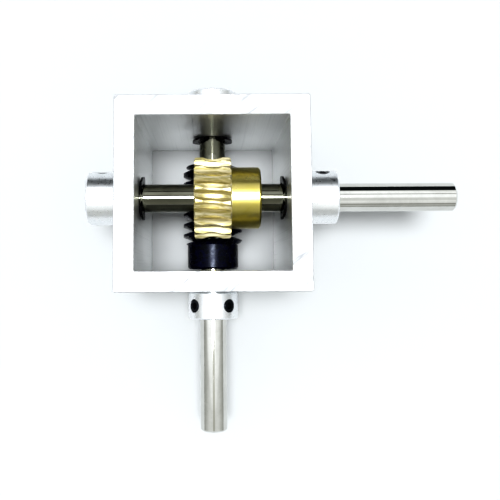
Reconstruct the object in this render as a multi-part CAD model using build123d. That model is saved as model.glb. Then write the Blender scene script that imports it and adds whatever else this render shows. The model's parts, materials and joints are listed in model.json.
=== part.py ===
from build123d import *
import math
import os

# Worm gear set in a short length of square tube, standing on its end. Sizes are in millimetres.
# Frame: origin at the centre of the tube's base, +Z up to the open top.
# The output shaft lies along X and carries the wheel.
# The input shaft lies along Y, under the other one, and carries the worm.
# Each shaft is modelled along X with its long free end at +X, and then placed.

# Tube
TUBE_SIDE = 52.0
TUBE_BORE = 41.0
TUBE_LENGTH = 54.0
TUBE_OUTER_CORNER = 0.6
TUBE_INNER_CORNER = 0.25
TUBE_EDGE_BREAK = 0.15
WALL_OUTER = TUBE_SIDE / 2
WALL_INNER = TUBE_BORE / 2

# Gearing: one start on the worm, right-handed
MODULE = 1.0
WHEEL_TEETH = 20
WORM_PITCH_RADIUS = 8.0
PRESSURE_ANGLE = math.radians(20)
ROOT_CLEARANCE = 0.25
FLANK_CLEARANCE = 0.07
THREAD_PITCH = math.pi * MODULE
WHEEL_PITCH_RADIUS = MODULE * WHEEL_TEETH / 2
CENTRE_DISTANCE = WORM_PITCH_RADIUS + WHEEL_PITCH_RADIUS
WORM_TIP_RADIUS = WORM_PITCH_RADIUS + MODULE
WORM_ROOT_RADIUS = WORM_PITCH_RADIUS - MODULE - ROOT_CLEARANCE
THREAD_SHIFT = 0.35

# Worm blank, from its plain end to the end of its hub
WORM_START = -11.8
THREAD_END = 12.6
WORM_HUB_RADIUS = 7.7
WORM_HUB_END = 19.9
THREAD_CHAMFER = 1.2
THREAD_SINK = 0.4
HUB_CHAMFER = 0.5

# Wheel blank: a toothed rim with a throat, and a hub at +X
RIM_HALF_WIDTH = 5.1
RIM_RADIUS = 11.55
THROAT_RADIUS = CENTRE_DISTANCE - WHEEL_PITCH_RADIUS - MODULE
RIM_CHAMFER = 0.35
WHEEL_HUB_RADIUS = 8.7
WHEEL_HUB_END = 13.35
GAP_SECTIONS = 9
GAP_FLANK_POINTS = 9
GAP_OUTER_RADIUS = RIM_RADIUS + 0.6

# Shafts
OUTPUT_HEIGHT = 38.0
INPUT_HEIGHT = OUTPUT_HEIGHT - CENTRE_DISTANCE
SHAFT_RADIUS = 4.0
SHAFT_CHAMFER = 0.5
BORE_CLEARANCE = 0.01
OUTPUT_REACH = 68.4
INPUT_REACH = 68.1

# Flanged ball bearings, 8 x 12 x 3.5
BEARING_OUTER_RADIUS = 6.0
BEARING_WIDTH = 3.5
FLANGE_RADIUS = 6.8
FLANGE_WIDTH = 0.8
INNER_RING_RADIUS = 4.7
OUTER_RING_BORE = 5.3
BALL_CIRCLE = 5.0
BALL_RADIUS = 0.6
BALL_CLEARANCE = 0.05
BALL_COUNT = 13
CAGE_HALF_THICKNESS = 0.2
CAGE_WIDTH = 1.8
SHIELD_WIDTH = 0.2
SHIELD_INSET = 0.2
BEARING_FACE = WALL_OUTER + FLANGE_WIDTH
WALL_SHOULDER_RADIUS = 5.2

# Set collars, outside the walls
COLLAR_RADIUS = 7.5
COLLAR_WIDTH = 8.0
COLLAR_GAP = 0.1
COLLAR_CHAMFER = 0.4
COLLAR_INNER_FACE = BEARING_FACE + COLLAR_GAP
COLLAR_MIDDLE = COLLAR_INNER_FACE + COLLAR_WIDTH / 2
SHAFT_SHORT_END = COLLAR_INNER_FACE + COLLAR_WIDTH

# Bowed retaining clips just inside the walls, each in a 6 mm groove with its mouth up.
# There is none at the front wall, where the worm's hub comes up to the wall.
CLIP_RADIUS = 6.15
CLIP_THICKNESS = 0.6
CLIP_BOW_RADIUS = 40.0
CLIP_GAP = 0.08
CLIP_MOUTH = 5.2
CLIP_RELIEF_RADIUS = 4.5
CLIP_RELIEF_START = math.radians(28)
CLIP_RELIEF_END = math.radians(88)
GROOVE_RADIUS = 3.0
GROOVE_WIDTH = 0.94
CLIP_OUTER_FACE = WALL_INNER - CLIP_GAP
CLIP_SIDES = {"output": (-1, 1), "input": (-1,)}

# Shallow turned relief that ends the collar's seat on each shaft, almost all of it under the collar
RELIEF_DEPTH = 0.25
RELIEF_WIDTH = 0.6
FREE_END_START = SHAFT_SHORT_END + 0.05

# Hex socket set screws: M4 in the collars, M3 in the two gears
M4 = 4.0
M3 = 3.0
SOCKET_SHARE = 0.5
SOCKET_DEPTH_SHARE = 0.55
SCREW_TIP_GAP = 0.05
COLLAR_SCREW_LENGTH = 3.3
GEAR_SCREW_LENGTH = 3.0
GEAR_SCREW_ANGLE = 180
WHEEL_SCREW_X = 9.2
WORM_SCREW_X = 16.2

# Where the two screws of each collar point, in degrees about its shaft from +Z
COLLAR_SCREW_ANGLES = {
    "right": (-70, -160),
    "left": (80, 170),
    "front": (-40, 50),
    "rear": (135, 225),
}


def ring(outer, inner, start, end):
    """A plain ring along X."""
    blank = Cylinder(outer, end - start) - Cylinder(inner, end - start)
    return Pos((start + end) / 2, 0, 0) * Rot(0, 90, 0) * blank


def rod(radius, start, end):
    """A plain cylinder along X."""
    return Pos((start + end) / 2, 0, 0) * Rot(0, 90, 0) * Cylinder(radius, end - start)


def turned(points):
    """A turned solid along X from its half outline, given as (x, radius) points."""
    return revolve(make_face(Polyline(*points, close=True)), Axis.X)


def turned_arc(before, arc, after):
    """A turned solid whose half outline has one three-point arc between two runs of points."""
    outline = Curve() + [
        Polyline(*before, arc[0]),
        ThreePointArc(*arc),
        Polyline(arc[2], *after, before[0]),
    ]
    return revolve(make_face(outline), Axis.X)


def radial(shape, x, angle):
    """Moves a shape built along +Z to x, turned by angle degrees about X, from +Z towards -Y."""
    return Pos(x, 0, 0) * Rot(angle, 0, 0) * shape


def on_wall(shape, side):
    """Places a shape modelled at the +X wall on that wall, or on the one opposite when side is -1."""
    return shape if side > 0 else Rot(0, 0, 180) * shape


def on_output(shape):
    """Places a shape from the shared shaft frame on the output shaft's axis."""
    return Pos(0, 0, OUTPUT_HEIGHT) * shape


def on_input(shape):
    """Places a shape from the shared shaft frame on the input shaft's axis, its free end towards -Y."""
    return Pos(0, 0, INPUT_HEIGHT) * Rot(0, 0, -90) * shape


def wall_bore():
    """The stepped hole through the +X wall: the bearing's seat outside, a smaller hole inside."""
    seat = rod(BEARING_OUTER_RADIUS, BEARING_FACE - BEARING_WIDTH, WALL_OUTER + 1)
    return seat + rod(WALL_SHOULDER_RADIUS, WALL_INNER - 1, WALL_OUTER)


def tube_frame():
    """Square tube, open at both ends, bored across for the two shafts."""
    outer = extrude(RectangleRounded(TUBE_SIDE, TUBE_SIDE, TUBE_OUTER_CORNER), TUBE_LENGTH)
    inner = extrude(RectangleRounded(TUBE_BORE, TUBE_BORE, TUBE_INNER_CORNER), TUBE_LENGTH)
    tube = outer - inner
    rims = tube.faces().filter_by(Axis.Z).edges()
    tube = chamfer(rims, TUBE_EDGE_BREAK)
    for place in (on_output, on_input):
        for side in (-1, 1):
            tube -= place(on_wall(wall_bore(), side))
    return tube


def shaft(reach, clip_sides):
    """Ground round shaft with a groove for each of its clips, chamfered at both ends."""
    c = SHAFT_CHAMFER
    body = turned(
        [
            (-SHAFT_SHORT_END, 0),
            (-SHAFT_SHORT_END, SHAFT_RADIUS - c),
            (-SHAFT_SHORT_END + c, SHAFT_RADIUS),
            (reach - c, SHAFT_RADIUS),
            (reach, SHAFT_RADIUS - c),
            (reach, 0),
        ]
    )
    bowed = CLIP_THICKNESS + SHAFT_RADIUS**2 / (2 * CLIP_BOW_RADIUS)
    middle = CLIP_OUTER_FACE - bowed / 2
    for side in clip_sides:
        start = side * middle - GROOVE_WIDTH / 2
        body -= ring(SHAFT_RADIUS + 1, GROOVE_RADIUS, start, start + GROOVE_WIDTH)
    relief = SHAFT_RADIUS - RELIEF_DEPTH
    return body - ring(SHAFT_RADIUS + 1, relief, FREE_END_START - RELIEF_WIDTH, FREE_END_START)


def e_clip():
    """Stamped retaining clip at the +X wall: three prongs on the groove, bowed towards the wall."""
    plate = Circle(CLIP_RADIUS) - Circle(GROOVE_RADIUS)
    plate -= Pos(0, -CLIP_RADIUS) * Rectangle(CLIP_MOUTH, 2 * CLIP_RADIUS)
    reach = 2 * CLIP_RADIUS
    for side in (-1, 1):
        corners = [(0, 0)]
        for angle in (CLIP_RELIEF_START, CLIP_RELIEF_END):
            corners.append((side * reach * math.sin(angle), reach * math.cos(angle)))
        plate -= Polygon(*corners, align=None) & Circle(CLIP_RELIEF_RADIUS)
    bow = Cylinder(CLIP_BOW_RADIUS, reach) - Cylinder(CLIP_BOW_RADIUS - CLIP_THICKNESS, reach)
    bow = Pos(0, 0, CLIP_THICKNESS - CLIP_BOW_RADIUS) * Rot(90, 0, 0) * bow
    sag = CLIP_RADIUS**2 / CLIP_BOW_RADIUS
    solid = Pos(0, 0, -sag) * extrude(plate, CLIP_THICKNESS + sag) & bow
    return Pos(CLIP_OUTER_FACE - CLIP_THICKNESS, 0, 0) * Rot(0, 90, 0) * Rot(0, 0, -90) * solid


def raceway():
    """The torus in which the balls run, with their clearance."""
    middle = BEARING_FACE - BEARING_WIDTH / 2
    return Pos(middle, 0, 0) * Rot(0, 90, 0) * Torus(BALL_CIRCLE, BALL_RADIUS + BALL_CLEARANCE)


def bearing_outer():
    """Flanged outer ring, its flange against the outside of the wall."""
    back = BEARING_FACE - BEARING_WIDTH
    body = ring(BEARING_OUTER_RADIUS, OUTER_RING_BORE, back, BEARING_FACE)
    body += ring(FLANGE_RADIUS, OUTER_RING_BORE, WALL_OUTER, BEARING_FACE)
    body -= raceway()
    for start in (back - 1, BEARING_FACE - SHIELD_INSET - SHIELD_WIDTH):
        body -= rod(OUTER_RING_BORE + 0.2, start, start + SHIELD_INSET + SHIELD_WIDTH + 1)
    return body


def bearing_inner():
    """Inner ring, a light press on the shaft."""
    back = BEARING_FACE - BEARING_WIDTH
    return ring(INNER_RING_RADIUS, SHAFT_RADIUS + BORE_CLEARANCE, back, BEARING_FACE) - raceway()


def bearing_balls():
    """The balls, evenly spaced on their circle."""
    middle = BEARING_FACE - BEARING_WIDTH / 2
    balls = []
    for i in range(BALL_COUNT):
        turn = Rot(360 * i / BALL_COUNT, 0, 0)
        balls.append(Pos(middle, 0, 0) * turn * Pos(0, 0, BALL_CIRCLE) * Sphere(BALL_RADIUS))
    return Compound(balls)


def bearing_cage():
    """Ribbon that keeps the balls apart, pierced once for each ball."""
    middle = BEARING_FACE - BEARING_WIDTH / 2
    ribbon = ring(
        BALL_CIRCLE + CAGE_HALF_THICKNESS,
        BALL_CIRCLE - CAGE_HALF_THICKNESS,
        middle - CAGE_WIDTH / 2,
        middle + CAGE_WIDTH / 2,
    )
    pocket = Pos(0, 0, BALL_CIRCLE) * Cylinder(BALL_RADIUS + BALL_CLEARANCE, 2)
    for i in range(BALL_COUNT):
        ribbon -= radial(pocket, middle, 360 * i / BALL_COUNT)
    return ribbon


def bearing_shields():
    """The two thin shields snapped into the outer ring, clear of the inner one."""
    back = BEARING_FACE - BEARING_WIDTH + SHIELD_INSET
    front = BEARING_FACE - SHIELD_INSET - SHIELD_WIDTH
    outer = OUTER_RING_BORE + 0.2
    inner = INNER_RING_RADIUS + 0.1
    return Compound([ring(outer, inner, start, start + SHIELD_WIDTH) for start in (back, front)])


def set_screw(size, length):
    """Hex socket set screw along Z, its flat point at z = 0 and its socket at the top."""
    c = size * 0.1
    outline = [
        (0, 0),
        (0, size / 2 - 2 * c),
        (2 * c, size / 2),
        (length - c, size / 2),
        (length, size / 2 - c),
        (length, 0),
    ]
    body = Rot(0, -90, 0) * turned(outline)
    socket = RegularPolygon(size * SOCKET_SHARE / 2, 6, major_radius=False)
    depth = length * SOCKET_DEPTH_SHARE
    return body - Pos(0, 0, length - depth) * extrude(socket, depth)


def fitted_screw(size, length, x, angle):
    """A set screw in place, its point just off the shaft."""
    return radial(Pos(0, 0, SHAFT_RADIUS + SCREW_TIP_GAP) * set_screw(size, length), x, angle)


def screw_hole(size, x, angle):
    """Radial hole for a set screw, from inside the bore out through the hub."""
    hole = Cylinder(size / 2 + BORE_CLEARANCE, 12, align=(Align.CENTER, Align.CENTER, Align.MIN))
    return radial(hole, x, angle)


def collar(angles):
    """Set collar at the +X wall, drilled for a set screw at each angle."""
    start = COLLAR_INNER_FACE
    end = COLLAR_INNER_FACE + COLLAR_WIDTH
    c = COLLAR_CHAMFER
    bore = SHAFT_RADIUS + BORE_CLEARANCE
    body = turned(
        [
            (start, bore + c / 2),
            (start, COLLAR_RADIUS - c),
            (start + c, COLLAR_RADIUS),
            (end - c, COLLAR_RADIUS),
            (end, COLLAR_RADIUS - c),
            (end, bore + c / 2),
            (end - c / 2, bore),
            (start + c / 2, bore),
        ]
    )
    for angle in angles:
        body -= screw_hole(M4, COLLAR_MIDDLE, angle)
    return body


def collar_screws(angles):
    """The set screws of one collar."""
    return Compound([fitted_screw(M4, COLLAR_SCREW_LENGTH, COLLAR_MIDDLE, a) for a in angles])


def thread_half_width(radius):
    """Half the axial width of the worm's thread at a radius, without clearance."""
    return THREAD_PITCH / 4 - (radius - WORM_PITCH_RADIUS) * math.tan(PRESSURE_ANGLE)


def worm_thread():
    """The worm's thread, a trapezoid carried along a helix, longer than the worm at both ends."""
    base = WORM_ROOT_RADIUS - THREAD_SINK
    base_half = thread_half_width(base) - FLANK_CLEARANCE / 2
    tip_half = thread_half_width(WORM_TIP_RADIUS) - FLANK_CLEARANCE / 2
    tooth = Plane.XZ * Polygon(
        (base, -base_half),
        (WORM_TIP_RADIUS, -tip_half),
        (WORM_TIP_RADIUS, tip_half),
        (base, base_half),
        align=None,
    )
    turns = math.ceil((THREAD_END - WORM_START) / THREAD_PITCH) + 3
    helix = Helix(THREAD_PITCH, turns * THREAD_PITCH, WORM_PITCH_RADIUS)
    # Once it lies along X, the thread starts towards -Z: half a pitch on from there it faces the wheel
    latest = WORM_START - THREAD_PITCH
    start = latest - (latest + THREAD_SHIFT + THREAD_PITCH / 2) % THREAD_PITCH
    return Pos(start, 0, 0) * Rot(0, 90, 0) * sweep(tooth, path=helix, is_frenet=True)


def worm():
    """Single-start worm: its thread on a core, a plain hub at +X, and a bore for the shaft."""
    foot = WORM_TIP_RADIUS - THREAD_CHAMFER
    over = THREAD_CHAMFER + 0.3
    ends = turned(
        [
            (WORM_START, 0),
            (WORM_START, foot),
            (WORM_START + over, foot + over),
            (THREAD_END - over, foot + over),
            (THREAD_END, foot),
            (THREAD_END, 0),
        ]
    )
    hub = turned(
        [
            (THREAD_END, 0),
            (THREAD_END, WORM_HUB_RADIUS),
            (WORM_HUB_END - HUB_CHAMFER, WORM_HUB_RADIUS),
            (WORM_HUB_END, WORM_HUB_RADIUS - HUB_CHAMFER),
            (WORM_HUB_END, 0),
        ]
    )
    body = (worm_thread() & ends) + rod(WORM_ROOT_RADIUS, WORM_START, THREAD_END) + hub
    body -= rod(SHAFT_RADIUS + BORE_CLEARANCE, WORM_START - 1, WORM_HUB_END + 1)
    return body - screw_hole(M3, WORM_SCREW_X, GEAR_SCREW_ANGLE)


def gap_flank(x, hand):
    """One flank of the wheel's tooth gap in the plane at x, as (y, z) points from its root outwards.

    The worm's section in that plane moves past like a rack, and each of its points cuts the wheel
    where the normal to the section goes through the pitch point. hand is the sign of y of the flank.
    """
    tip = math.sqrt(WORM_TIP_RADIUS**2 - x**2)
    points = []
    for i in range(GAP_FLANK_POINTS):
        share = i / (GAP_FLANK_POINTS - 1)
        height = tip - share * (tip - lowest_contact(x, hand))
        points.append(wheel_point(x, height, hand))
    return points


def wheel_point(x, height, hand):
    """Where the worm's section point at this height over its axis leaves its mark on the wheel."""
    radius = math.hypot(x, height)
    half = thread_half_width(radius) + FLANK_CLEARANCE / 2
    across = THREAD_PITCH / (2 * math.pi) * math.atan2(x, height) + hand * half
    lead_slope = -THREAD_PITCH / (2 * math.pi) * x / radius**2
    slope = lead_slope - hand * math.tan(PRESSURE_ANGLE) * height / radius
    shift = (WORM_PITCH_RADIUS - height) / slope - across
    turn = shift / WHEEL_PITCH_RADIUS
    y = across + shift
    z = height - CENTRE_DISTANCE
    return y * math.cos(turn) + z * math.sin(turn), z * math.cos(turn) - y * math.sin(turn)


def lowest_contact(x, hand):
    """The height on the worm's section whose mark on the wheel is just outside the rim."""
    inside = math.sqrt(WORM_TIP_RADIUS**2 - x**2)
    outside = inside - 4
    for _ in range(40):
        middle = (inside + outside) / 2
        if math.hypot(*wheel_point(x, middle, hand)) > GAP_OUTER_RADIUS:
            outside = middle
        else:
            inside = middle
    return inside


def gap_section(x):
    """Outline of one tooth gap in the plane at x, pointing towards -Z."""
    left = gap_flank(x, -1)
    right = gap_flank(x, 1)
    root = CENTRE_DISTANCE - math.sqrt((WORM_TIP_RADIUS + ROOT_CLEARANCE) ** 2 - x**2)
    floor = []
    for y, z in (left[0], right[0]):
        scale = root / math.hypot(y, z)
        floor.append((y * scale, z * scale))
    corners = [Vector(x, *p) for p in (left[0], floor[0], floor[1], right[0])]
    return Wire(
        [
            Edge.make_spline([Vector(x, *p) for p in left]),
            Edge.make_line(corners[0], corners[1]),
            Edge.make_line(corners[1], corners[2]),
            Edge.make_line(corners[2], corners[3]),
            Edge.make_spline([Vector(x, *p) for p in right]),
            Edge.make_line(Vector(x, *right[-1]), Vector(x, *left[-1])),
        ]
    )


def tooth_gap():
    """The space between two teeth, lofted through its sections across the rim."""
    reach = RIM_HALF_WIDTH + 0.3
    places = [-reach + 2 * reach * i / (GAP_SECTIONS - 1) for i in range(GAP_SECTIONS)]
    return Solid.make_loft([gap_section(x) for x in places])


def worm_wheel():
    """Throated worm wheel with a hub at +X, cut with its tooth gaps and bored for the shaft."""
    bore = SHAFT_RADIUS + BORE_CLEARANCE
    c = RIM_CHAMFER
    throat_half = math.sqrt(THROAT_RADIUS**2 - (CENTRE_DISTANCE - RIM_RADIUS) ** 2)
    throat = [
        (-throat_half, RIM_RADIUS),
        (0, WHEEL_PITCH_RADIUS + MODULE),
        (throat_half, RIM_RADIUS),
    ]
    before = [(-RIM_HALF_WIDTH, bore), (-RIM_HALF_WIDTH, RIM_RADIUS - c), (c - RIM_HALF_WIDTH, RIM_RADIUS)]
    after = [
        (RIM_HALF_WIDTH - c, RIM_RADIUS),
        (RIM_HALF_WIDTH, RIM_RADIUS - c),
        (RIM_HALF_WIDTH, WHEEL_HUB_RADIUS),
        (WHEEL_HUB_END - HUB_CHAMFER, WHEEL_HUB_RADIUS),
        (WHEEL_HUB_END, WHEEL_HUB_RADIUS - HUB_CHAMFER),
        (WHEEL_HUB_END, bore),
    ]
    blank = turned_arc(before, throat, after)
    gap = tooth_gap()
    phase = math.degrees(THREAD_SHIFT / WHEEL_PITCH_RADIUS)
    gaps = [Rot(phase + 360 * i / WHEEL_TEETH, 0, 0) * gap for i in range(WHEEL_TEETH)]
    return blank - gaps - screw_hole(M3, WHEEL_SCREW_X, GEAR_SCREW_ANGLE)


# Each wall's name, the shaft that crosses it and the side of that shaft's own frame
WALLS = (("right", on_output, 1), ("left", on_output, -1), ("front", on_input, 1), ("rear", on_input, -1))


def write(name, shape):
    export_step(shape, "parts/" + name + ".step")


def main():
    os.makedirs("parts", exist_ok=True)
    write("tube_frame", tube_frame())
    write("output_shaft", on_output(shaft(OUTPUT_REACH, CLIP_SIDES["output"])))
    write("worm_wheel", on_output(worm_wheel()))
    wheel_screw = fitted_screw(M3, GEAR_SCREW_LENGTH, WHEEL_SCREW_X, GEAR_SCREW_ANGLE)
    write("wheel_set_screw", on_output(wheel_screw))
    write("input_shaft", on_input(shaft(INPUT_REACH, CLIP_SIDES["input"])))
    write("worm", on_input(worm()))
    worm_screw = fitted_screw(M3, GEAR_SCREW_LENGTH, WORM_SCREW_X, GEAR_SCREW_ANGLE)
    write("worm_set_screw", on_input(worm_screw))
    for name, place, side in WALLS:
        angles = COLLAR_SCREW_ANGLES[name]
        pieces = {
            "collar_": collar(angles),
            "collar_screws_": collar_screws(angles),
            "bearing_outer_": bearing_outer(),
            "bearing_inner_": bearing_inner(),
            "bearing_balls_": bearing_balls(),
            "bearing_cage_": bearing_cage(),
            "bearing_shields_": bearing_shields(),
        }
        for kind, shape in pieces.items():
            write(kind + name, place(on_wall(shape, side)))
        if name != "front":
            write("e_clip_" + name, place(on_wall(e_clip(), side)))


main()
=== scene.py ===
import json
import math

import bpy
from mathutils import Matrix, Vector


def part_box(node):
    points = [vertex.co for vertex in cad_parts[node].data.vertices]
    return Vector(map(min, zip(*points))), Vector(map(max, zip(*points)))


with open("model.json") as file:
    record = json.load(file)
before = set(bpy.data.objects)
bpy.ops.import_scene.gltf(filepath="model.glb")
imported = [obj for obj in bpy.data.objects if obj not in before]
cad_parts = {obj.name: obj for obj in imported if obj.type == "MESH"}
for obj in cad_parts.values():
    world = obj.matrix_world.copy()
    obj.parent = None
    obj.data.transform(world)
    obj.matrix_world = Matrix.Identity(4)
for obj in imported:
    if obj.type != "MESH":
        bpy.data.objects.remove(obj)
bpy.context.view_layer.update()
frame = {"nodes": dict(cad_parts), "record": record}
NODES = frame["nodes"]
SLOT_OF = {part["node"]: part["material_slot"] for part in frame["record"]["subparts"]}
MM = 0.001
MICRON = 0.001 * MM


def middle(node):
    """The middle of a node's box at rest."""
    low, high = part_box(node)
    return (Vector(low) + Vector(high)) / 2


# Each shaft's line, as the axis that it runs along and its height
OUTPUT_LINE = ("X", middle("output_shaft").z)
INPUT_LINE = ("Y", middle("input_shaft").z)
ON_INPUT = ("input_shaft", "worm", "worm_set_screw")


def line_of(name):
    """The shaft line that a node sits on."""
    on_input = name in ON_INPUT or name.endswith(("_front", "_rear"))
    return INPUT_LINE if on_input else OUTPUT_LINE


# Shader helpers. Object coordinates are the row frame in metres, and they turn with each body.

def new_material(name, metallic=0.0):
    """A new material, its node tree and its Principled shader."""
    mat = bpy.data.materials.new(name)
    mat.use_nodes = True
    tree = mat.node_tree
    shader = tree.nodes["Principled BSDF"]
    shader.inputs["Metallic"].default_value = metallic
    return mat, tree, shader


def math_node(tree, operation, *values):
    """A Math node on sockets or numbers."""
    node = tree.nodes.new("ShaderNodeMath")
    node.operation = operation
    for socket, value in zip(node.inputs, values):
        if isinstance(value, (int, float)):
            socket.default_value = value
        else:
            tree.links.new(value, socket)
    return node.outputs[0]


def vector_node(tree, operation, vector, other=None):
    """A Vector Math node on a socket and, if given, a constant."""
    node = tree.nodes.new("ShaderNodeVectorMath")
    node.operation = operation
    tree.links.new(vector, node.inputs[0])
    if other is not None:
        node.inputs[1].default_value = other
    return node.outputs["Value" if operation in ("LENGTH", "DOT_PRODUCT") else "Vector"]


def split(tree, vector):
    """The X, Y and Z of a vector socket."""
    node = tree.nodes.new("ShaderNodeSeparateXYZ")
    tree.links.new(vector, node.inputs["Vector"])
    return tuple(node.outputs[axis] for axis in "XYZ")


def place(tree):
    """Object coordinates."""
    return tree.nodes.new("ShaderNodeTexCoord").outputs["Object"]


def stretched(tree, scale, turn=0.0):
    """Object coordinates turned about Z by turn radians, then stretched along each axis."""
    vector = place(tree)
    if turn:
        spin = tree.nodes.new("ShaderNodeMapping")
        spin.inputs["Rotation"].default_value = (0, 0, turn)
        tree.links.new(vector, spin.inputs["Vector"])
        vector = spin.outputs["Vector"]
    return vector_node(tree, "MULTIPLY", vector, scale)


def lathe(tree, line):
    """(distance along a shaft's line, distance from it, 0), on which any pattern looks turned."""
    axis, height = line
    along, across = ((1, 0, 0), (0, 1, 1)) if axis == "X" else ((0, 1, 0), (1, 0, 1))
    centred = vector_node(tree, "SUBTRACT", place(tree), (0, 0, height))
    join = tree.nodes.new("ShaderNodeCombineXYZ")
    tree.links.new(vector_node(tree, "DOT_PRODUCT", centred, along), join.inputs["X"])
    radial = vector_node(tree, "MULTIPLY", centred, across)
    tree.links.new(vector_node(tree, "LENGTH", radial), join.inputs["Y"])
    return join.outputs["Vector"]


def noise(tree, vector, scale, detail=3.0, rough=0.55, distortion=0.0):
    """Noise from 0 to 1. scale is in cycles for each metre."""
    node = tree.nodes.new("ShaderNodeTexNoise")
    node.inputs["Scale"].default_value = scale
    node.inputs["Detail"].default_value = detail
    node.inputs["Roughness"].default_value = rough
    node.inputs["Distortion"].default_value = distortion
    tree.links.new(vector, node.inputs["Vector"])
    return node.outputs["Fac"]


def spread(tree, value, low, high, to_low, to_high, smooth=False):
    """Maps value from low..high to to_low..to_high, held at the ends."""
    node = tree.nodes.new("ShaderNodeMapRange")
    node.interpolation_type = "SMOOTHSTEP" if smooth else "LINEAR"
    for key, number in zip(("From Min", "From Max", "To Min", "To Max"), (low, high, to_low, to_high)):
        node.inputs[key].default_value = number
    tree.links.new(value, node.inputs["Value"])
    return node.outputs["Result"]


def mix(tree, share, one, other):
    """A colour between one and other by share. Each colour is a tuple or a socket."""
    node = tree.nodes.new("ShaderNodeMix")
    node.data_type = "RGBA"
    tree.links.new(share, node.inputs["Factor"])
    for key, colour in (("A", one), ("B", other)):
        socket = next(s for s in node.inputs if s.name == key and s.type == "RGBA")
        if isinstance(colour, tuple):
            socket.default_value = (*colour, 1)
        else:
            tree.links.new(colour, socket)
    return next(s for s in node.outputs if s.type == "RGBA")


def bump(tree, shader, height, distance, strength=1.0):
    """Adds a bump of that height in metres, over any that the shader has."""
    node = tree.nodes.new("ShaderNodeBump")
    node.inputs["Strength"].default_value = strength
    node.inputs["Distance"].default_value = distance
    tree.links.new(height, node.inputs["Height"])
    normal = shader.inputs["Normal"]
    if normal.is_linked:
        tree.links.new(normal.links[0].from_socket, node.inputs["Normal"])
    tree.links.new(node.outputs["Normal"], normal)


def set_colour(tree, shader, colour):
    """Gives the shader its base colour from a socket."""
    tree.links.new(colour, shader.inputs["Base Color"])


def set_roughness(tree, shader, value):
    """Gives the shader its roughness from a socket."""
    tree.links.new(value, shader.inputs["Roughness"])


# Materials

def inside_tube(tree):
    """1 on the tube's inner faces, 0 on its outer ones."""
    x, y, _ = split(tree, place(tree))
    reach = math_node(tree, "MAXIMUM", math_node(tree, "ABSOLUTE", x), math_node(tree, "ABSOLUTE", y))
    return math_node(tree, "LESS_THAN", reach, INNER_REACH)


def tube_aluminium(name, _line):
    """Extruded aluminium: die lines along the tube, stains, sawn ends with slanting scratches, and inner
    faces painted lighter as painted light.
    """
    mat, tree, shader = new_material(name, metallic=1.0)
    stains = noise(tree, stretched(tree, (1, 1, 0.5)), 55, 6.0, 0.62, 0.6)
    die_lines = noise(tree, stretched(tree, (1, 1, 0.006)), 2600, 2.0, 0.6)
    saw = noise(tree, stretched(tree, (1, 0.02, 1), math.radians(38)), 1500, 3.0, 0.65)
    scuffs = noise(tree, stretched(tree, (1, 0.12, 1), math.radians(52)), 420, 4.0, 0.7)
    _, _, upward = split(tree, tree.nodes.new("ShaderNodeTexCoord").outputs["Normal"])
    sawn = spread(tree, math_node(tree, "ABSOLUTE", upward), 0.6, 0.9, 0.0, 1.0)
    share = spread(tree, stains, 0.35, 0.75, 0.0, 1.0)
    inside = inside_tube(tree)
    # Painted light: the inner faces get a lighter colour than the outer ones.
    wall = mix(tree, inside, mix(tree, share, *TUBE_OUTSIDE), mix(tree, share, *TUBE_INSIDE_PAINTED_LIGHT))
    wall = mix(tree, spread(tree, die_lines, 0.55, 0.8, 0.0, 0.3), wall, TUBE_LINE)
    rim = mix(tree, spread(tree, scuffs, 0.52, 0.72, 0.0, 0.9), *TUBE_RIM)
    set_colour(tree, shader, mix(tree, sawn, wall, rim))
    smooth = spread(tree, stains, 0.3, 0.75, *TUBE_ROUGHNESS)
    dull = math_node(tree, "MULTIPLY_ADD", inside, INSIDE_ROUGHER, smooth)
    set_roughness(tree, shader, math_node(tree, "MULTIPLY_ADD", sawn, SAWN_ROUGHER, dull))
    bump(tree, shader, die_lines, 10 * MICRON, 0.25)
    bump(tree, shader, math_node(tree, "MULTIPLY", saw, sawn), 12 * MICRON, 0.5)
    return mat


def ground_steel(name, line):
    """Centreless-ground shaft: very fine rings and faint handling marks, with painted shade that darkens
    it inside the tube.
    """
    mat, tree, shader = new_material(name, metallic=1.0)
    turned = lathe(tree, line)
    rings = noise(tree, turned, 5200, 2.0, 0.6)
    marks = noise(tree, place(tree), 160, 5.0, 0.65, 0.4)
    share = spread(tree, marks, 0.4, 0.75, 0.0, 1.0)
    along, _, _ = split(tree, turned)
    # Painted shade: the steel inside the tube gets a darker colour than outside it.
    shaded_inside = math_node(tree, "LESS_THAN", math_node(tree, "ABSOLUTE", along), INNER_REACH)
    steel = mix(tree, shaded_inside, mix(tree, share, *CLEAN_STEEL), mix(tree, share, *SHADED_STEEL_INSIDE))
    set_colour(tree, shader, steel)
    set_roughness(tree, shader, spread(tree, marks, 0.35, 0.75, 0.035, 0.09))
    bump(tree, shader, rings, 1.5 * MICRON, 0.25)
    return mat


def turned_brass(name, line):
    """Brass wheel: turned rings on its hub and end faces, and bright hobbed teeth."""
    mat, tree, shader = new_material(name, metallic=1.0)
    turned = lathe(tree, line)
    rings = noise(tree, turned, 3600, 3.0, 0.6)
    along, _, _ = split(tree, turned)
    hub = spread(tree, along, RIM_END, RIM_END + 0.3 * MM, 0.0, 1.0)
    tarnish = noise(tree, place(tree), 130, 5.0, 0.6, 0.5)
    cut = noise(tree, stretched(tree, (0.06, 1, 1)), 1200, 4.0, 0.65)
    teeth = mix(tree, spread(tree, cut, 0.42, 0.6, 0.0, 1.0), *TEETH_BRASS)
    plain = mix(tree, spread(tree, tarnish, 0.3, 0.7, 0.0, 1.0), *HUB_BRASS)
    set_colour(tree, shader, mix(tree, hub, teeth, plain))
    smooth = spread(tree, tarnish, 0.3, 0.7, 0.46, 0.56)
    set_roughness(tree, shader, math_node(tree, "MULTIPLY_ADD", hub, -HUB_SMOOTHER, smooth))
    bump(tree, shader, rings, 6 * MICRON, 0.35)
    bump(tree, shader, cut, 24 * MICRON, 0.45)
    return mat


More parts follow.
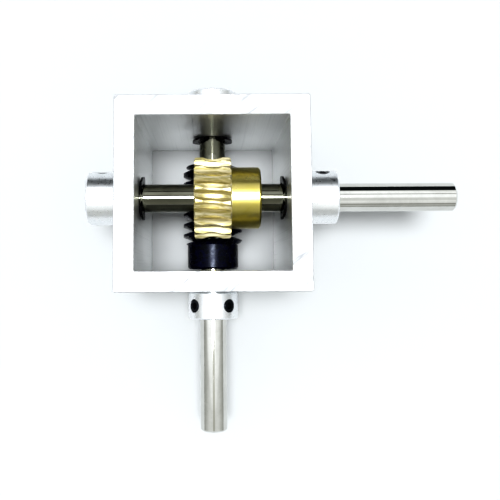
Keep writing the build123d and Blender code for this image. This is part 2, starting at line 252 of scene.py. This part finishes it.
def black_oxide(name, line, mottle, main, bloomed, worn):
    """Blackened steel, oiled: a faint bloom over near black, worn a little on its turned rings."""
    mat, tree, shader = new_material(name)
    shader.inputs["Specular IOR Level"].default_value = 0.14
    shader.inputs["Specular Tint"].default_value = (0.72, 0.79, 1.0, 1)
    bloom = noise(tree, place(tree), mottle, 5.0, 0.62, 0.8)
    rings = noise(tree, lathe(tree, line), 2600, 3.0, 0.6)
    colour = mix(tree, spread(tree, bloom, 0.42, 0.62, 0.0, 1.0), main, bloomed)
    set_colour(tree, shader, mix(tree, spread(tree, rings, 0.62, 0.8, 0.0, 0.5), colour, worn))
    set_roughness(tree, shader, spread(tree, bloom, 0.35, 0.65, 0.20, 0.36))
    bump(tree, shader, rings, 6 * MICRON, 0.3)
    bump(tree, shader, bloom, 8 * MICRON, 0.25)
    return mat


def satin_aluminium(name, line):
    """Turned and tumbled aluminium: a mottled satin face over turning rings."""
    mat, tree, shader = new_material(name, metallic=1.0)
    rings = noise(tree, lathe(tree, line), 2400, 3.0, 0.6)
    mottle = noise(tree, place(tree), 1300, 4.0, 0.65)
    stains = noise(tree, place(tree), 110, 4.0, 0.6)
    light = mix(tree, spread(tree, stains, 0.35, 0.7, 0.0, 1.0), *COLLAR_LIGHTS)
    set_colour(tree, shader, mix(tree, spread(tree, mottle, 0.5, 0.75, 0.0, 0.4), light, COLLAR_PITS))
    set_roughness(tree, shader, spread(tree, mottle, 0.35, 0.7, 0.26, 0.38))
    bump(tree, shader, rings, 6 * MICRON, 0.3)
    bump(tree, shader, mottle, 10 * MICRON, 0.25)
    return mat


def bearing_metal(name, line, rings_scale, light, dark, rough):
    """Ground or pressed bearing steel, with rings about its shaft and a thin film of oil in places."""
    mat, tree, shader = new_material(name, metallic=1.0)
    rings = noise(tree, lathe(tree, line), rings_scale, 3.0, 0.6)
    film = noise(tree, place(tree), 380, 4.0, 0.6)
    set_colour(tree, shader, mix(tree, spread(tree, film, 0.4, 0.7, 0.0, 1.0), light, dark))
    set_roughness(tree, shader, spread(tree, film, 0.35, 0.7, *rough))
    bump(tree, shader, rings, 4 * MICRON, 0.3)
    return mat


# Colours in linear light, each pair from the main one to the one in patches
TUBE_OUTSIDE = ((0.76, 0.78, 0.79), (0.64, 0.67, 0.68))
# Inner faces, painted lighter than the outer ones as painted light.
TUBE_INSIDE_PAINTED_LIGHT = ((0.965, 0.975, 0.97), (0.92, 0.93, 0.925))
TUBE_LINE = (0.50, 0.52, 0.52)
TUBE_RIM = ((0.34, 0.345, 0.35), (0.14, 0.145, 0.15))
CLEAN_STEEL = ((0.70, 0.70, 0.67), (0.60, 0.60, 0.57))
# The shaft's colour inside the tube, darker as painted shade.
SHADED_STEEL_INSIDE = ((0.20, 0.20, 0.16), (0.14, 0.14, 0.11))
TEETH_BRASS = ((0.70, 0.645, 0.45), (0.42, 0.37, 0.16))
HUB_BRASS = ((0.52, 0.455, 0.17), (0.42, 0.36, 0.09))
COLLAR_LIGHTS = ((0.90, 0.91, 0.92), (0.80, 0.82, 0.84))
COLLAR_PITS = (0.60, 0.63, 0.66)

# Roughness of the tube's outer walls, and how it changes on other faces
TUBE_ROUGHNESS = (0.13, 0.22)
INSIDE_ROUGHER = 0.17
SAWN_ROUGHER = 0.38
HUB_SMOOTHER = 0.2

# A face nearer than INNER_REACH to the tube's axis is inside it, and the wheel's rim ends at RIM_END.
INNER_REACH = 20.7 * MM
RIM_END = 5.1 * MM

# Each slot's maker and what it takes. For blackened steel: the bloom's scale, then the main colour, the
# bloom's and the worn one. For bearing metal: the rings' scale, two colours, and a range of roughness.
FINISHES = {
    "tube_aluminium": (tube_aluminium,),
    "shaft_steel": (ground_steel,),
    "wheel_brass": (turned_brass,),
    "collar_aluminium": (satin_aluminium,),
    "worm_black_steel": (
        black_oxide, 620, (0.0012, 0.0013, 0.002), (0.0015, 0.0014, 0.012), (0.005, 0.005, 0.008),
    ),
    "screw_black_steel": (
        black_oxide, 1500, (0.006, 0.007, 0.008), (0.004, 0.005, 0.006), (0.016, 0.016, 0.016),
    ),
    "clip_spring_steel": (
        black_oxide, 900, (0.005, 0.005, 0.005), (0.003, 0.003, 0.003), (0.012, 0.012, 0.011),
    ),
    "bearing_steel": (bearing_metal, 4200, (0.76, 0.77, 0.78), (0.62, 0.63, 0.64), (0.10, 0.18)),
    "ball_steel": (bearing_metal, 4200, (0.82, 0.82, 0.83), (0.72, 0.72, 0.73), (0.04, 0.08)),
    "cage_steel": (bearing_metal, 4200, (0.58, 0.57, 0.54), (0.46, 0.45, 0.43), (0.24, 0.34)),
    "shield_steel": (bearing_metal, 2400, (0.60, 0.60, 0.59), (0.48, 0.48, 0.48), (0.18, 0.30)),
}


def finish_nodes():
    """Gives every CAD node the material of its slot, made for the shaft line that it sits on."""
    made = {}
    for name, node in NODES.items():
        slot, line = SLOT_OF[name], line_of(name)
        key = slot + "_" + line[0].lower()
        if key not in made:
            maker, *looks = FINISHES[slot]
            made[key] = maker(key, line, *looks)
        node.data.materials.clear()
        node.data.materials.append(made[key])


# Floor, light and camera

def floor():
    """White paper, wide enough to reach the horizon."""
    far = FLOOR_REACH
    corners = [(-far, -far, 0), (far, -far, 0), (far, far, 0), (-far, far, 0)]
    mesh = bpy.data.meshes.new("floor")
    mesh.from_pydata(corners, [], [(0, 1, 2, 3)])
    plane = bpy.data.objects.new("floor", mesh)
    bpy.context.scene.collection.objects.link(plane)
    mat, _, shader = new_material("floor_paper")
    shader.inputs["Base Color"].default_value = (*PAPER, 1)
    shader.inputs["Roughness"].default_value = 0.8
    plane.data.materials.append(mat)


def band(tree, value, low, high, soft):
    """1 between low and high, 0 outside, with soft edges."""
    rise = spread(tree, value, low - soft, low + soft, 0.0, 1.0, smooth=True)
    fall = spread(tree, value, high - soft, high + soft, 1.0, 0.0, smooth=True)
    return math_node(tree, "MULTIPLY", rise, fall)


def product(tree, one, two, three):
    """The product of three sockets."""
    return math_node(tree, "MULTIPLY", math_node(tree, "MULTIPLY", one, two), three)


def world_light():
    """A white studio under a ceiling light. It is dark low on the +Y side, for the steel's black bands."""
    world = bpy.data.worlds.new("studio")
    bpy.context.scene.world = world
    world.use_nodes = True
    tree = world.node_tree
    tree.nodes.clear()
    direction = tree.nodes.new("ShaderNodeTexCoord").outputs["Generated"]
    x, y, z = split(tree, direction)
    # Angles from straight up, towards +Y and towards +X
    to_y = math_node(tree, "ARCTAN2", y, z)
    to_x = math_node(tree, "ARCTAN2", x, z)
    overhead = spread(tree, z, 0.2, 0.4, 0.0, 1.0)
    lit = mix(tree, spread(tree, z, 0.0, 0.8, 0.0, 1.0), WALL_LOW, WALL_HIGH)
    window = product(tree, band(tree, to_y, *WINDOW_Y, 0.08), band(tree, to_x, *WINDOW_X, 0.12), overhead)
    lit = mix(tree, window, lit, WINDOW)
    toward = vector_node(tree, "DOT_PRODUCT", direction, tuple(Vector(CEILING_AT).normalized()))
    lit = mix(tree, spread(tree, toward, *CEILING_EDGE, 0.0, 1.0, smooth=True), lit, CEILING)
    deep = band(tree, to_y, *DARK_SIDE, 0.03)
    beside = spread(tree, math_node(tree, "ABSOLUTE", x), 0.45, 0.8, 1.0, 0.0, smooth=True)
    lit = mix(tree, product(tree, deep, beside, spread(tree, y, 0.3, 0.45, 0.0, 1.0)), lit, DARK)
    shade = product(tree, band(tree, to_y, *SHADE_Y, 0.03), band(tree, to_x, *SHADE_X, 0.03), overhead)
    lit = mix(tree, shade, lit, SHADE)
    for low, high, strength in STRIPES:
        line = band(tree, to_y, math.radians(low), math.radians(high), 0.02)
        lit = mix(tree, math_node(tree, "MULTIPLY", line, strength), lit, STRIPE)
    seen = mix(tree, tree.nodes.new("ShaderNodeLightPath").outputs["Is Camera Ray"], lit, BACKGROUND)
    back = tree.nodes.new("ShaderNodeBackground")
    back.inputs["Strength"].default_value = 1.0
    tree.links.new(seen, back.inputs["Color"])
    out = tree.nodes.new("ShaderNodeOutputWorld")
    tree.links.new(back.outputs[0], out.inputs["Surface"])


# The studio, as colours in linear light and angles from straight up
WALL_LOW = (0.36, 0.37, 0.35)
WALL_HIGH = (1.02, 1.04, 1.04)
WINDOW_Y = (math.radians(-8), math.radians(45))
WINDOW_X = (math.radians(-55), math.radians(22))
WINDOW = (1.25, 1.28, 1.31)
CEILING_AT = (-0.02, 0.0, 1.0)
CEILING_EDGE = (0.982, 0.9975)
CEILING = (72.0, 73.3, 74.6)
DARK_SIDE = (math.radians(50), math.radians(102))
DARK = (0.012, 0.016, 0.017)
SHADE_Y = (math.radians(-52), math.radians(-4))
SHADE_X = (math.radians(-9), math.radians(9))
SHADE = (0.62, 0.63, 0.58)
BACKGROUND = (0.93, 0.94, 0.96)
PAPER = (0.435, 0.445, 0.451)
FLOOR_REACH = 3.0

# Grey stripes along X: from and to in degrees towards +Y, and their strength
STRIPES = ((17.5, 22.5, 0.97), (-33, -11, 0.3), (-69, -58, 0.85))
STRIPE = (0.30, 0.31, 0.28)


def camera():
    """Nearly straight down into the tube, from a little towards -Y."""
    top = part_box("tube_frame")[1].z
    data = bpy.data.cameras.new("camera")
    data.sensor_width = 36
    data.lens = LENS
    data.shift_x, data.shift_y = SHIFT
    data.clip_start = 0.01
    obj = bpy.data.objects.new("camera", data)
    bpy.context.scene.collection.objects.link(obj)
    obj.location = (CAMERA_X, CAMERA_Y, top + CAMERA_ABOVE_RIM)
    obj.rotation_mode = "ZYX"
    obj.rotation_euler = [math.radians(angle) for angle in CAMERA_TURN]
    bpy.context.scene.camera = obj


# The camera, fitted to the tube's two rims and to both shafts, and the picture's exposure
LENS = 49.75
SHIFT = (0.0686, -0.0844)
CAMERA_X = -0.2 * MM
CAMERA_Y = -21.1 * MM
CAMERA_ABOVE_RIM = 179 * MM
CAMERA_TURN = (5.38, -0.30, -0.34)
EXPOSURE = -0.3


finish_nodes()
floor()
world_light()
camera()
view = bpy.context.scene.view_settings
view.view_transform = "Standard"
view.look = "High Contrast"
view.exposure = EXPOSURE
